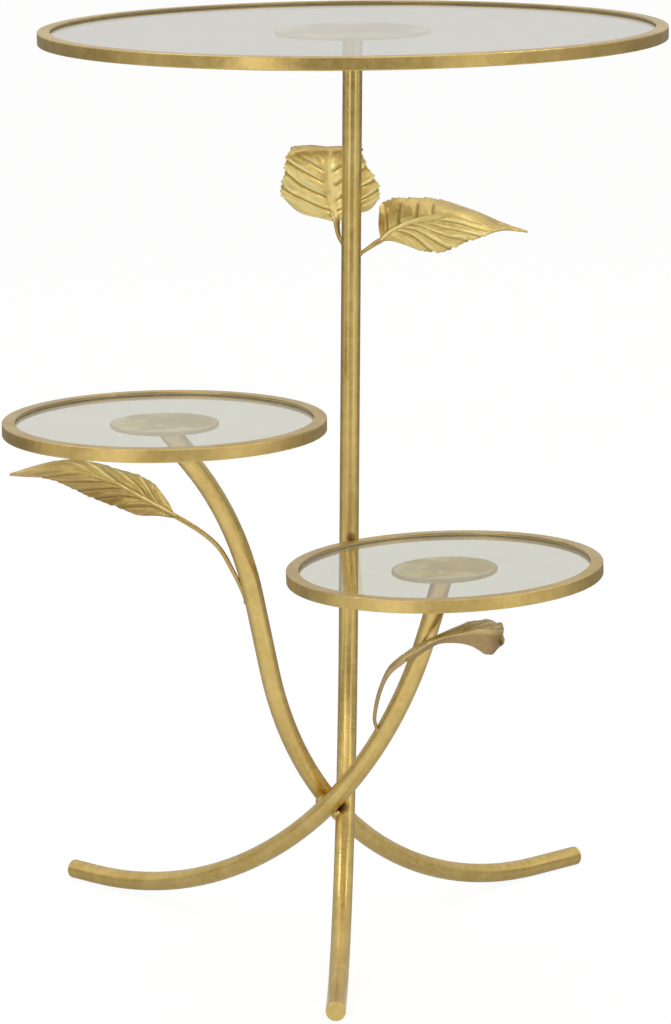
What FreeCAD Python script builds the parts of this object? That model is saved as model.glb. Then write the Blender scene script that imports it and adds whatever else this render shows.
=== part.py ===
import FreeCAD, Part
import math
import os
import Sketcher
from FreeCAD import Placement, Rotation, Vector

doc = FreeCAD.newDocument("tiered_side_table")

# ---------------------------------------------------------------- sizes (millimetres, degrees)
# Places are given from the foot of the upper tray's axis on the floor: +X right, +Y back, +Z up.
SIZES = [
    ("overall_height", 750.0, "floor to the top face of the upper rim"),
    ("top_radius", 254.0, "outer radius of the upper rim"),
    ("side_radius", 127.0, "outer radius of both side rims"),
    ("left_x", -150.1, "left tray axis"),
    ("left_y", -161.8, "left tray axis"),
    ("left_height", 460.6, "floor to the top face of the left rim"),
    ("right_x", 69.0, "right tray axis, its Y follows from the rim touching the upright"),
    ("right_height", 330.4, "floor to the top face of the right rim"),
    ("right_tilt", 1.6, "right tray, right side up"),
    ("rim_width", 10.0, "rim channel, flat top face"),
    ("rim_height", 10.3, "rim channel, outer wall"),
    ("rim_wall", 2.0, "rim channel, thickness of the outer wall"),
    ("rim_round", 0.9, "rounding of the rim's outer edges"),
    ("glass_thickness", 5.0, "all three tops"),
    ("glass_recess", 2.0, "rim's top face down to the glass"),
    ("glass_seam", 0.4, "ground edge of the glass"),
    ("seal_wall", 0.8, "U-shaped seal round the glass edge"),
    ("seal_setback", 0.6, "seal's lips stop short of the rim's inner face"),
    ("top_plate_radius", 63.0, "mounting plate under the upper glass"),
    ("side_plate_radius", 42.5, "mounting plates under the side glasses"),
    ("plate_thickness", 3.0, "mounting plates"),
    ("plate_edge", 0.5, "edge break of the mounting plates"),
    ("bond_thickness", 0.3, "clear adhesive between plate and glass"),
    ("bond_margin", 1.0, "adhesive stops short of the plate's edge"),
    ("tube_od", 16.0, "all three bent tubes"),
    ("tube_wall", 1.5, "all three bent tubes"),
    ("upright_foot_x", -12.9, "where the upright's axis meets the front leg's line"),
    ("front_foot_x", -21.0, "end of the front foot"),
    ("front_foot_y", -264.5, "end of the front foot"),
    ("front_foot_run", 13.3, "straight run at the front foot"),
    ("right_knee_x", -22.4, "corner of the right branch on the floor line"),
    ("right_foot_x", -251.3, "end of the right branch, the left rear foot"),
    ("right_foot_y", 124.4, "end of the right branch, the left rear foot"),
    ("right_foot_run", 23.9, "straight run at the left rear foot"),
    ("right_plate_run", 43.0, "straight run below the right plate"),
    ("left_bow_along", 102.9, "left branch's upper corner, along its chord"),
    ("left_bow_out", 39.1, "left branch's upper corner, out from its chord"),
    ("left_plate_run", 40.3, "straight run below the left plate"),
    ("left_middle_run", 65.7, "straight run between the left branch's two bends"),
    ("left_foot_x", 188.6, "end of the left branch, the right rear foot"),
    ("left_foot_y", 148.8, "end of the left branch, the right rear foot"),
    ("left_foot_run", 47.2, "straight run at the right rear foot"),
    ("cap_thickness", 1.8, "end cap's face"),
    ("cap_round", 1.1, "end cap's rounded edge"),
    ("cap_spigot", 12.0, "end cap's spigot inside the tube"),
    ("fit_gap", 0.05, "radial clearance of the seal in the rim and of a spigot in its tube"),
    ("joint_gap", 0.1, "gap between welded tubes"),
    ("hub_weld_radius", 7.6, "weld beads where the tubes cross"),
    ("rim_weld_radius", 4.2, "weld bead between the right rim and the upright"),
    ("plate_weld_leg", 2.2, "weld collar under each plate"),
    ("stem_weld_radius", 3.6, "weld bead at the foot of each leaf stem"),
    ("stem_weld_gap", 0.2, "clearance of a stem's weld bead to its tube"),
    ("stem_od", 4.2, "leaf stems"),
    ("leaf_thickness", 1.0, "pressed leaf blades"),
    ("leaf_gap", 0.3, "end of the stem to the blade"),
    ("upper_left_leaf_drop", 181.3, "stem joint on the upright, below the upper rim's top face"),
    ("upper_left_leaf_side", 130.0, "direction of the joint round the tube"),
    ("upper_right_leaf_drop", 184.8, "stem joint on the upright, below the upper rim's top face"),
    ("upper_right_leaf_side", -7.0, "direction of the joint round the tube"),
    ("lower_left_leaf_drop", 162.6, "stem joint on the left branch, below the left rim's top face"),
    ("lower_left_leaf_side", 171.0, "direction of the joint round the tube"),
    ("lower_right_leaf_drop", 145.0, "stem joint on the right branch, below the right rim's top face"),
    ("lower_right_leaf_side", -160.0, "direction of the joint round the tube"),
]

sheet = doc.addObject("Spreadsheet::Sheet", "Sizes")
for row, (alias, value, note) in enumerate(SIZES, start=1):
    sheet.set("A%d" % row, alias)
    sheet.set("B%d" % row, repr(value))
    sheet.set("C%d" % row, note)
    sheet.setAlias("B%d" % row, alias)
doc.recompute()


def size(alias):
    return float(sheet.get(alias))


# ---------------------------------------------------------------- leaf shapes (millimetres)
# STEMS: points of each stem's axis after its foot, from the joint on the tube's skin.
# BLADES: cross sections from base to tip as (upper edge, midrib, lower edge), from the stem's end.
STEMS = {
    "upper_left": [(-4.4, 5.3, 8.7), (-6.2, 6.3, 16.8), (-6.4, 6.8, 22.1)],
    "upper_right": [(5.8, -2.1, 4.9), (11.5, -3.1, 9.0), (16.6, -2.6, 11.8)],
    "lower_left": [(-3.0, -4.3, 12.8), (-9.3, -9.3, 28.0), (-19.2, -14.3, 47.3), (-33.3, -17.3, 61.6),
                   (-52.9, -19.3, 74.8)],
    "lower_right": [(-1.6, -3.6, 10.5), (1.1, -10.6, 29.1), (6.2, -18.6, 46.1), (12.2, -24.6, 57.5),
                    (19.6, -28.1, 64.7)],
}
BLADES = {
    "upper_left": [
        ((-1.9, -1.0, -0.7), (0.0, 0.0, 0.0), (1.8, -1.0, -0.7)),
        ((-15.3, -1.0, 2.2), (-1.4, 1.5, 5.1), (12.5, -0.5, 4.8)),
        ((-30.0, -1.0, 6.6), (-2.6, 3.5, 10.2), (25.6, 0.0, 7.5)),
        ((-40.9, -0.5, 16.1), (-4.2, 6.0, 16.9), (33.0, 1.0, 15.1)),
        ((-45.7, 1.0, 25.4), (-5.7, 8.5, 25.6), (35.1, 3.0, 24.3)),
        ((-42.7, 4.0, 36.5), (-6.8, 12.0, 35.9), (32.4, 7.0, 31.6)),
        ((-41.4, 8.0, 47.4), (-7.2, 16.0, 45.7), (25.5, 12.0, 42.1)),
        ((-38.5, 15.0, 54.3), (-6.7, 22.0, 54.0), (21.1, 20.0, 51.5)),
        ((-34.4, 26.7, 57.5), (-6.7, 31.0, 56.2), (21.1, 31.3, 54.8)),
        ((-30.6, 40.0, 53.1), (-6.7, 44.0, 52.5), (17.2, 44.0, 50.8)),
        ((-25.2, 55.5, 42.9), (-6.7, 58.0, 43.0), (11.8, 58.5, 41.1)),
        ((-18.6, 68.0, 29.6), (-6.7, 69.0, 30.0), (5.3, 70.0, 28.4)),
        ((-11.4, 76.6, 14.2), (-6.7, 77.0, 14.0), (-1.9, 77.4, 13.8)),
    ],
    "upper_right": [
        ((-1.0, 0.5, 1.1), (0.0, 0.0, 0.0), (1.1, -0.5, -1.1)),
        ((-2.0, 9.5, 13.5), (6.4, -1.5, 5.9), (8.3, -5.5, -0.4)),
        ((1.0, 16.5, 27.2), (14.5, -2.5, 10.4), (18.4, -11.5, -2.6)),
        ((11.7, 19.5, 31.0), (24.3, -3.5, 15.0), (28.8, -16.5, -5.7)),
        ((25.6, 20.5, 30.9), (34.8, -4.5, 17.4), (40.1, -20.5, -7.5)),
        ((40.3, 20.5, 30.7), (45.4, -4.5, 19.8), (53.0, -22.5, -6.2)),
        ((55.0, 19.5, 27.7), (57.6, -4.5, 21.3), (66.0, -21.5, -0.2)),
        ((68.8, 17.5, 23.3), (72.2, -2.5, 18.8), (79.0, -17.5, 3.3)),
        ((82.5, 14.5, 18.3), (86.1, 0.5, 14.6), (89.8, -10.5, 6.1)),
        ((98.7, 10.5, 11.4), (100.1, 4.5, 9.5), (101.5, -2.5, 7.3)),
        ((118.1, 6.5, 4.5), (118.9, 6.0, 4.1), (118.4, 5.5, 3.8)),
    ],
    "lower_left": [
        ((-1.4, 0.0, 1.7), (0.0, 0.0, 0.0), (-1.1, -1.0, -0.8)),
        ((-5.7, 6.0, 8.6), (-10.2, 0.0, 5.8), (-14.0, -7.0, 2.4)),
        ((-14.5, 12.0, 20.1), (-23.6, -1.0, 13.5), (-28.7, -14.0, 4.6)),
        ((-24.9, 16.0, 27.9), (-36.1, -2.0, 21.1), (-41.8, -18.0, 10.5)),
        ((-37.7, 18.0, 32.4), (-48.6, -3.0, 28.0), (-54.3, -20.0, 15.9)),
        ((-52.8, 18.0, 37.2), (-62.7, -4.0, 33.6), (-66.8, -20.0, 20.9)),
        ((-68.5, 16.0, 42.0), (-76.9, -5.0, 38.0), (-79.4, -19.0, 27.1)),
        ((-84.2, 12.0, 44.8), (-91.0, -6.0, 40.2), (-92.0, -17.0, 32.7)),
        ((-99.8, 7.0, 43.9), (-104.5, -6.0, 39.7), (-104.8, -14.0, 35.7)),
        ((-115.3, 1.0, 41.0), (-118.8, -6.0, 38.2), (-120.2, -10.0, 36.0)),
        ((-131.3, -5.0, 36.9), (-131.6, -6.0, 36.4), (-131.1, -7.0, 35.9)),
    ],
    "lower_right": [
        ((-0.5, 0.5, 1.1), (0.0, 0.0, 0.0), (0.6, 0.5, -1.4)),
        ((3.9, -0.5, 5.9), (3.9, -2.5, 3.6), (4.2, -1.5, 0.6)),
        ((10.3, -1.5, 10.8), (10.2, -6.5, 8.0), (10.6, -4.5, 3.4)),
        ((19.5, -1.5, 16.3), (19.8, -10.5, 14.9), (20.6, -7.5, 10.5)),
        ((28.8, -0.5, 20.5), (29.4, -13.5, 20.3), (30.2, -9.5, 16.2)),
        ((37.8, 3.5, 23.6), (38.1, -14.5, 23.7), (39.8, -10.5, 17.3)),
        ((45.9, 7.5, 26.0), (46.9, -14.5, 25.6), (49.4, -10.5, 16.5)),
        ((54.0, 11.5, 28.1), (55.7, -13.5, 27.3), (57.4, -9.5, 13.7)),
        ((62.2, 16.5, 28.5), (64.6, -10.5, 27.7), (65.5, -6.5, 8.1)),
        ((71.3, 22.5, 27.6), (73.6, -4.5, 25.8), (72.8, -1.5, 5.2)),
        ((78.8, 29.5, 23.2), (79.9, 5.5, 21.2), (79.1, 5.5, 9.2)),
        ((82.0, 24.8, 24.2), (82.1, 14.5, 18.2), (82.3, 4.2, 12.2)),
        ((78.8, 31.9, 16.1), (78.9, 23.5, 11.2), (79.0, 15.1, 6.3)),
        ((72.9, 34.9, 4.3), (72.9, 29.5, 1.2), (73.0, 24.1, -1.9)),
        ((66.9, 33.9, -8.4), (66.9, 31.5, -9.8), (67.0, 29.1, -11.2)),
    ],
}


# ---------------------------------------------------------------- places
def unit(vector):
    return Vector(vector).normalize()


def corner_wire(points, setbacks):
    """Straight runs joined by tangent arcs; each setback is the length from a corner to its arc's end."""
    edges = []
    here = points[0]
    for before, corner, after, setback in zip(points, points[1:], points[2:], setbacks):
        back = unit(before - corner)
        ahead = unit(after - corner)
        half = back.getAngle(ahead) / 2
        inward = unit(back + ahead)
        centre = corner + inward * (setback / math.cos(half))
        start = corner + back * setback
        end = corner + ahead * setback
        edges.append(Part.LineSegment(here, start).toShape())
        edges.append(Part.Arc(start, centre - inward * (setback * math.tan(half)), end).toShape())
        here = end
    edges.append(Part.LineSegment(here, points[-1]).toShape())
    return Part.Wire(edges)


def even_setbacks(points):
    """The largest arcs that leave a tenth of each run straight."""
    runs = [(b - a).Length for a, b in zip(points, points[1:])]
    return [0.45 * min(a, b) for a, b in zip(runs, runs[1:])]


def point_at_height(wire, height):
    """The point of a wire at one height, and the wire's direction there."""
    level = Part.makePlane(4000, 4000, Vector(-2000, -2000, height))
    point = wire.distToShape(level)[1][0][0]
    edge = min(wire.Edges, key=lambda e: e.distToShape(Part.Vertex(point))[0])
    return point, unit(edge.tangentAt(edge.Curve.parameter(point)))


radius = size("tube_od") / 2
stack = size("glass_recess") + size("glass_thickness") + size("bond_thickness") + size("plate_thickness")
clear = size("tube_od") + size("joint_gap")
cap = size("cap_thickness")


def foot(x, y, corner):
    """End of the bare tube, one cap's thickness short of the foot's end."""
    end = Vector(x, y, radius)
    return end - unit(end - corner) * cap


# Upright and front leg: down from the upper plate, then forward along the floor.
upright_top = Vector(0, 0, size("overall_height") - stack)
upright_corner = Vector(size("upright_foot_x"), 0, radius)
front_end = foot(size("front_foot_x"), size("front_foot_y"), upright_corner)
upright_points = [upright_top, upright_corner, front_end]
upright_setbacks = [(front_end - upright_corner).Length - size("front_foot_run")]
upright_wire = corner_wire(upright_points, upright_setbacks)

# The right rim touches the upright, which sets the right tray's Y.
lean = (upright_corner - upright_top).x / (upright_top.z - upright_corner.z)
rim_level = size("right_height") - size("rim_height") / 2
upright_x = lean * (upright_top.z - rim_level)
reach = size("side_radius") + radius + size("joint_gap")
right_y = -math.sqrt(reach ** 2 - (size("right_x") - upright_x) ** 2)

TRAYS = {
    "top": Placement(Vector(0, 0, size("overall_height")), Rotation()),
    "left": Placement(Vector(size("left_x"), size("left_y"), size("left_height")), Rotation()),
    "right": Placement(Vector(size("right_x"), right_y, size("right_height")),
                       Rotation(Vector(0, 1, 0), -size("right_tilt"))),
}
right_top = TRAYS["right"].multVec(Vector(0, 0, -stack))
left_top = TRAYS["left"].multVec(Vector(0, 0, -stack))


def right_branch(knee_y):
    """Right tray down, in front of the upright, to the left rear foot."""
    knee = Vector(size("right_knee_x"), knee_y, radius)
    end = foot(size("right_foot_x"), size("right_foot_y"), knee)
    setback = min((end - knee).Length - size("right_foot_run"),
                  (right_top - knee).Length - size("right_plate_run"))
    return [right_top, knee, end], [setback]


def left_branch(knee_x, knee_y):
    """Left tray down, behind both other tubes, to the right rear foot."""
    knee = Vector(knee_x, knee_y, radius)
    end = foot(size("left_foot_x"), size("left_foot_y"), knee)
    chord = knee - left_top
    sideways = unit(chord.cross(end - knee).cross(chord))
    bow = left_top + unit(chord) * size("left_bow_along") + sideways * size("left_bow_out")
    upper = (bow - left_top).Length - size("left_plate_run")
    lower = min((end - knee).Length - size("left_foot_run"),
                (knee - bow).Length - upper - size("left_middle_run"))
    return [left_top, bow, knee, end], [upper, lower]


# The tubes touch one another where they cross: the knees move until each pair is one diameter apart.
low, high = -size("side_radius") * 2, 0.0
for step in range(40):
    knee_y = (low + high) / 2
    if corner_wire(*right_branch(knee_y)).distToShape(upright_wire)[0] > clear:
        low = knee_y
    else:
        high = knee_y
right_points, right_setbacks = right_branch(knee_y)
right_wire = corner_wire(right_points, right_setbacks)


def left_misfit(x, y):
    wire = corner_wire(*left_branch(x, y))
    return (wire.distToShape(upright_wire)[0] - clear, wire.distToShape(right_wire)[0] - clear)


knee_x, knee_y = 2 * right_points[1].x, right_points[1].y / 2.5
for step in range(25):
    first, second = left_misfit(knee_x, knee_y)
    by_x = [(b - a) / 0.01 for a, b in zip((first, second), left_misfit(knee_x + 0.01, knee_y))]
    by_y = [(b - a) / 0.01 for a, b in zip((first, second), left_misfit(knee_x, knee_y + 0.01))]
    scale = by_x[0] * by_y[1] - by_x[1] * by_y[0]
    move_x = (first * by_y[1] - second * by_y[0]) / scale
    move_y = (second * by_x[0] - first * by_x[1]) / scale
    most = max(abs(move_x), abs(move_y), 4.0) / 4.0
    knee_x -= move_x / most
    knee_y -= move_y / most
left_points, left_setbacks = left_branch(knee_x, knee_y)
left_wire = corner_wire(left_points, left_setbacks)

TUBES = {
    "upright": (upright_points, upright_setbacks, upright_wire, "top"),
    "left_branch": (left_points, left_setbacks, left_wire, "left"),
    "right_branch": (right_points, right_setbacks, right_wire, "right"),
}
LEAF_TUBE = {
    "upper_left": "upright",
    "upper_right": "upright",
    "lower_left": "left_branch",
    "lower_right": "right_branch",
}

# Stem axes and blade sections, placed from each joint on its tube's skin.
leaves = {}
for leaf, tube in LEAF_TUBE.items():
    tray = TRAYS[TUBES[tube][3]]
    axis, heading = point_at_height(TUBES[tube][2], tray.Base.z - size(leaf + "_leaf_drop"))
    side = math.radians(size(leaf + "_leaf_side"))
    level_out = Vector(math.cos(side), math.sin(side), 0)
    out = unit(level_out - heading * level_out.dot(heading))
    joint = axis + out * radius
    points = [joint - out * size("stem_od") / 4] + [joint + Vector(*p) for p in STEMS[leaf]]
    base = points[-1] + unit(points[-1] - points[-2]) * size("leaf_gap")
    stations = [[base + Vector(*p) for p in station] for station in BLADES[leaf]]
    leaves[leaf] = (points, stations, joint)

# Origin: on the floor, in the middle of the table's footprint.
reach_x = [size("top_radius"), -size("top_radius"), size("left_x") - size("side_radius"),
           size("right_x") + size("side_radius"), size("right_foot_x"), size("left_foot_x")]
reach_y = [size("top_radius"), -size("top_radius"), size("left_y") - size("side_radius"),
           right_y - size("side_radius"), size("front_foot_y"), size("left_foot_y")]
for points, stations, joint in leaves.values():
    for station in stations:
        reach_x += [p.x for p in station]
        reach_y += [p.y for p in station]
shift = Vector(-(min(reach_x) + max(reach_x)) / 2, -(min(reach_y) + max(reach_y)) / 2, 0)
world = Placement(shift, Rotation())

# ---------------------------------------------------------------- building blocks
nodes = []


def keep(thing, label):
    """A finished sub-part: its label names its file."""
    thing.Label = label
    nodes.append(thing)
    return thing


def bind(thing, **formulas):
    """Bind a feature's properties to the sheet."""
    for prop, formula in formulas.items():
        thing.setExpression(prop, formula)
    return thing


def solid(kind, name, placement, **formulas):
    thing = doc.addObject("Part::" + kind, name)
    bind(thing, **formulas)
    thing.Placement = world * placement
    return thing


def cut(name, base, tool):
    thing = doc.addObject("Part::Cut", name)
    thing.Base = base
    thing.Tool = tool
    return thing


def common(name, base, tool):
    thing = doc.addObject("Part::MultiCommon", name)
    thing.Shapes = [base, tool]
    return thing


def origin_plane(body, role):
    return [f for f in body.Origin.OriginFeatures if f.Role == role][0]


def circle_sketch(body, name, formula):
    """A circle about the body's own Z axis, its radius bound to the sheet."""
    sketch = body.newObject("Sketcher::SketchObject", name)
    sketch.AttachmentSupport = (origin_plane(body, "XY_Plane"), [""])
    sketch.MapMode = "FlatFace"
    sketch.addGeometry(Part.Circle(Vector(0, 0, 0), Vector(0, 0, 1), 10.0), False)
    sketch.addConstraint(Sketcher.Constraint("Coincident", 0, 3, -1, 1))
    sketch.addConstraint(Sketcher.Constraint("Radius", 0, 10.0))
    sketch.renameConstraint(1, "radius")
    sketch.setExpression("Constraints.radius", formula)
    return sketch


def pad(body, name, sketch, formula, down=False):
    feature = body.newObject("PartDesign::Pad", name)
    feature.Profile = sketch
    feature.Reversed = down
    feature.setExpression("Length", formula)
    return feature


def dress(body, kind, name, base, edges, formula):
    """Round or break the named edges of a body's feature."""
    feature = body.newObject("PartDesign::" + kind, name)
    feature.Base = (base, edges)
    prop = "Radius" if kind == "Fillet" else "Size"
    feature.setExpression(prop, formula)
    return feature


def round_edges(shape, level=None):
    """Names of a shape's full-circle edges, all of them or those at one height."""
    names = []
    for number, edge in enumerate(shape.Edges, start=1):
        circular = isinstance(edge.Curve, Part.Circle) and len(edge.Vertexes) == 1
        if circular and (level is None or abs(edge.CenterOfMass.z - level) < 1e-6):
            names.append("Edge%d" % number)
    return names


def disc(label, placement, radius_formula, thickness_formula, edge_formula=None):
    """A round plate that hangs below the placement's XY plane."""
    body = doc.addObject("PartDesign::Body", label)
    sketch = circle_sketch(body, label + "_outline", radius_formula)
    plate = pad(body, label + "_pad", sketch, thickness_formula, down=True)
    if edge_formula:
        doc.recompute()
        dress(body, "Chamfer", label + "_edge", plate, round_edges(plate.Shape), edge_formula)
    body.Placement = world * placement
    return keep(body, label)


def below(placement, depth):
    return placement * Placement(Vector(0, 0, -depth), Rotation())


def along(start, direction):
    """Placement with its Z axis along a direction."""
    return Placement(start, Rotation(Vector(0, 0, 1), direction))


def sweep(name, wire_object, count, start, direction, formula):
    """A round bar along a path, its radius bound to the sheet."""
    ring = doc.addObject("Part::Circle", name + "_ring")
    ring.setExpression("Radius", formula)
    ring.Placement = world * along(start, direction)
    bar = doc.addObject("Part::Sweep", name)
    bar.Sections = [ring]
    bar.Spine = (wire_object, ["Edge%d" % (i + 1) for i in range(count)])
    bar.Solid = True
    bar.Frenet = False
    return bar


def path(name, wire):
    thing = doc.addObject("Part::Feature", name)
    thing.Shape = wire
    thing.Placement = world
    return thing


# ---------------------------------------------------------------- trays
rim_envelopes = {}
for tray, place in TRAYS.items():
    outer = "Sizes.top_radius" if tray == "top" else "Sizes.side_radius"
    plate_radius = "Sizes.top_plate_radius" if tray == "top" else "Sizes.side_plate_radius"
    groove = outer + " - Sizes.rim_wall"
    seal = groove + " - Sizes.fit_gap"
    seal_height = "Sizes.glass_thickness + 2 * Sizes.seal_wall"
    bore = outer + " - Sizes.rim_width"

    # Rim: a channel ring, open inward, that holds the glass edge.
    at_bottom = below(place, size("rim_height"))
    at_seal = below(place, size("glass_recess") + size("glass_thickness") + size("seal_wall"))
    blank = solid("Cylinder", tray + "_rim_blank", at_bottom, Radius=outer, Height="Sizes.rim_height")
    rim_envelopes[tray] = blank
    hole = solid("Cylinder", tray + "_rim_hole", at_bottom, Radius=bore, Height="Sizes.rim_height")
    slot = solid("Cylinder", tray + "_rim_slot", at_seal, Radius=groove, Height=seal_height)
    ring = cut(tray + "_rim_ring", cut(tray + "_rim_band", blank, hole), slot)
    doc.recompute()
    rounded = doc.addObject("Part::Fillet", tray + "_rim_rounded")
    rounded.Base = ring
    outside = size("top_radius" if tray == "top" else "side_radius")
    rounded.Edges = [(number, size("rim_round"), size("rim_round"))
                     for number, edge in enumerate(ring.Shape.Edges, start=1)
                     if isinstance(edge.Curve, Part.Circle) and abs(edge.Curve.Radius - outside) < 1e-6]
    keep(rounded, tray + "_rim")

    # Seal: a U round the glass edge, inside the channel.
    full = solid("Cylinder", tray + "_seal_full", at_seal, Radius=seal, Height=seal_height)
    pane = solid("Cylinder", tray + "_seal_pane", below(place, size("glass_recess") + size("glass_thickness")),
                 Radius=seal + " - Sizes.seal_wall", Height="Sizes.glass_thickness")
    mouth = solid("Cylinder", tray + "_seal_mouth", at_seal,
                  Radius=bore + " + Sizes.seal_setback", Height=seal_height)
    keep(cut(tray + "_seal_u", cut(tray + "_seal_c", full, pane), mouth), tray + "_seal")

    # Glass, adhesive and mounting plate, one under the other.
    disc(tray + "_glass", below(place, size("glass_recess")), seal + " - Sizes.seal_wall - Sizes.fit_gap",
         "Sizes.glass_thickness", "Sizes.glass_seam")
    under_glass = size("glass_recess") + size("glass_thickness")
    disc(tray + "_bond", below(place, under_glass), plate_radius + " - Sizes.bond_margin",
         "Sizes.bond_thickness")
    disc(tray + "_plate", below(place, under_glass + size("bond_thickness")), plate_radius,
         "Sizes.plate_thickness", "Sizes.plate_edge")

# ---------------------------------------------------------------- bent tubes
cores = {}
sleeves = {}
for tube, (points, setbacks, wire, tray) in TUBES.items():
    # The sweep starts above the plate's underside and is cut off flush with it.
    heading = unit(points[1] - points[0])
    start = points[0] - heading * size("tube_od") * 1.5
    long_wire = corner_wire([start] + points[1:], setbacks)
    spine = path(tube + "_path", long_wire)
    count = len(long_wire.Edges)
    core = sweep(tube + "_core", spine, count, start, heading, "Sizes.tube_od / 2")
    bore = sweep(tube + "_bore", spine, count, start, heading, "Sizes.tube_od / 2 - Sizes.tube_wall")
    cores[tube] = core
    sleeves[tube] = sweep(tube + "_sleeve", spine, count, start, heading, "Sizes.tube_od / 2 + Sizes.stem_weld_gap")
    reach = size("tube_od") * 3
    corner = Placement(Vector(-reach, -reach, -stack), Rotation())
    above = solid("Box", tube + "_above", TRAYS[tray] * corner,
                  Length="Sizes.tube_od * 6", Width="Sizes.tube_od * 6", Height="Sizes.tube_od * 4")
    pipe = cut(tube + "_pipe", core, bore)
    keep(cut(tube + "_trimmed", pipe, above), tube + "_tube")

    # Weld collar round the tube, under the plate.
    slab_at = Placement(Vector(-reach, -reach, -stack - size("plate_weld_leg")), Rotation())
    slab = solid("Box", tube + "_slab", TRAYS[tray] * slab_at,
                 Length="Sizes.tube_od * 6", Width="Sizes.tube_od * 6", Height="Sizes.plate_weld_leg")
    boss = solid("Cylinder", tube + "_boss", along(start, heading),
                 Radius="Sizes.tube_od / 2 + Sizes.plate_weld_leg", Height="Sizes.tube_od * 4")
    keep(cut(tube + "_collar", common(tube + "_collar_blank", boss, slab), core), tray + "_plate_weld")

    # End cap: a rounded face on the tube's end and a spigot inside it.
    label = {"upright": "front", "left_branch": "right_rear", "right_branch": "left_rear"}[tube] + "_foot_cap"
    body = doc.addObject("PartDesign::Body", label)
    face = pad(body, label + "_face", circle_sketch(body, label + "_rim_circle", "Sizes.tube_od / 2"),
               "Sizes.cap_thickness")
    doc.recompute()
    dress(body, "Fillet", label + "_round", face, round_edges(face.Shape, size("cap_thickness")),
          "Sizes.cap_round")
    spigot = circle_sketch(body, label + "_spigot_circle", "Sizes.tube_od / 2 - Sizes.tube_wall - Sizes.fit_gap")
    pad(body, label + "_spigot", spigot, "Sizes.cap_spigot", down=True)
    body.Placement = world * along(points[-1], unit(points[-1] - points[-2]))
    keep(body, label)

# ---------------------------------------------------------------- weld beads between the pieces
beads = []
for label, first, second in (("hub_weld_front", "right_branch", "upright"),
                             ("hub_weld_rear", "left_branch", "upright"),
                             ("hub_weld_side", "right_branch", "left_branch")):
    near = TUBES[first][2].distToShape(TUBES[second][2])[1][0]
    middle = (near[0] + near[1]) / 2
    bead = solid("Sphere", label + "_bead", Placement(middle, Rotation()), Radius="Sizes.hub_weld_radius")
    shaped = cut(label + "_twice", cut(label + "_once", bead, cores[first]), cores[second])
    for number, earlier in enumerate(beads):
        shaped = cut("%s_less_%d" % (label, number), shaped, earlier)
    keep(shaped, label)
    beads.append(bead)

toward = unit(Vector(upright_x, 0, 0) - Vector(size("right_x"), right_y, 0))
touch = toward * (size("side_radius") + size("joint_gap") / 2) - Vector(0, 0, size("rim_height") / 2)
middle = TRAYS["right"].multVec(touch)
bead = solid("Sphere", "rim_weld_bead", Placement(middle, Rotation()), Radius="Sizes.rim_weld_radius")
once = cut("rim_weld_once", bead, cores["upright"])
keep(cut("rim_weld_twice", once, rim_envelopes["right"]), "rim_weld")

# ---------------------------------------------------------------- leaves
for leaf, (points, stations, joint) in leaves.items():
    wire = corner_wire(points, even_setbacks(points))
    spine = path(leaf + "_stem_path", wire)
    core = cores[LEAF_TUBE[leaf]]
    rod = sweep(leaf + "_rod", spine, len(wire.Edges), points[0], points[1] - points[0], "Sizes.stem_od / 2")
    keep(cut(leaf + "_coped", rod, core), leaf + "_leaf_stem")
    bead = solid("Sphere", leaf + "_bead", Placement(joint, Rotation()), Radius="Sizes.stem_weld_radius")
    once = cut(leaf + "_bead_once", bead, sleeves[LEAF_TUBE[leaf]])
    keep(cut(leaf + "_bead_twice", once, rod), leaf + "_stem_weld")

    # Blade: a folded sheet lofted through its stations, half the sheet's thickness to each side.
    half = size("leaf_thickness") / 2
    rings = []
    for number, (upper, rib, lower) in enumerate(stations):
        ahead = stations[min(number + 1, len(stations) - 1)][1]
        behind = stations[max(number - 1, 0)][1]
        heading = ahead - behind
        flat = unit(heading.cross(lower - upper))
        faces = [unit(heading.cross(rib - upper)), flat, unit(heading.cross(lower - rib))]
        if number in (0, len(stations) - 1):
            rib = (upper + lower) / 2
            faces = [flat, flat, flat]
        front = [p + n * half for p, n in zip((upper, rib, lower), faces)]
        rear = [p - n * half for p, n in zip((upper, rib, lower), faces)]
        ring = doc.addObject("Part::Feature", "%s_station_%d" % (leaf, number))
        ring.Shape = Part.makePolygon(front + rear[::-1] + front[:1])
        ring.Placement = world
        rings.append(ring)
    blade = doc.addObject("Part::Loft", leaf + "_blade")
    blade.Sections = rings
    blade.Solid = True
    blade.Ruled = True
    keep(cut(leaf + "_seated", blade, rod), leaf + "_leaf_blade")

# ---------------------------------------------------------------- check and write
doc.recompute()
for thing in doc.Objects:
    if "Invalid" in thing.State or "Error" in thing.State:
        raise RuntimeError("failed feature: " + thing.Name)
for node in nodes:
    if node.Shape.isNull() or not node.Shape.isValid() or not node.Shape.Solids:
        raise RuntimeError("bad shape: " + node.Label)

os.makedirs("parts", exist_ok=True)
for node in nodes:
    node.Shape.exportStep("parts/%s.step" % node.Label)
for tube, (points, setbacks, wire, tray) in TUBES.items():
    section = math.pi * (radius ** 2 - (radius - size("tube_wall")) ** 2)
    volume = [n for n in nodes if n.Label == tube + "_tube"][0].Shape.Volume
    print("%s: volume %.0f, section x length %.0f" % (tube, volume, section * wire.Length))
print("%d sub-parts" % len(nodes))
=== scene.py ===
import bisect
import math

import bmesh
import bpy
from mathutils import Matrix, Vector, noise


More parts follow.
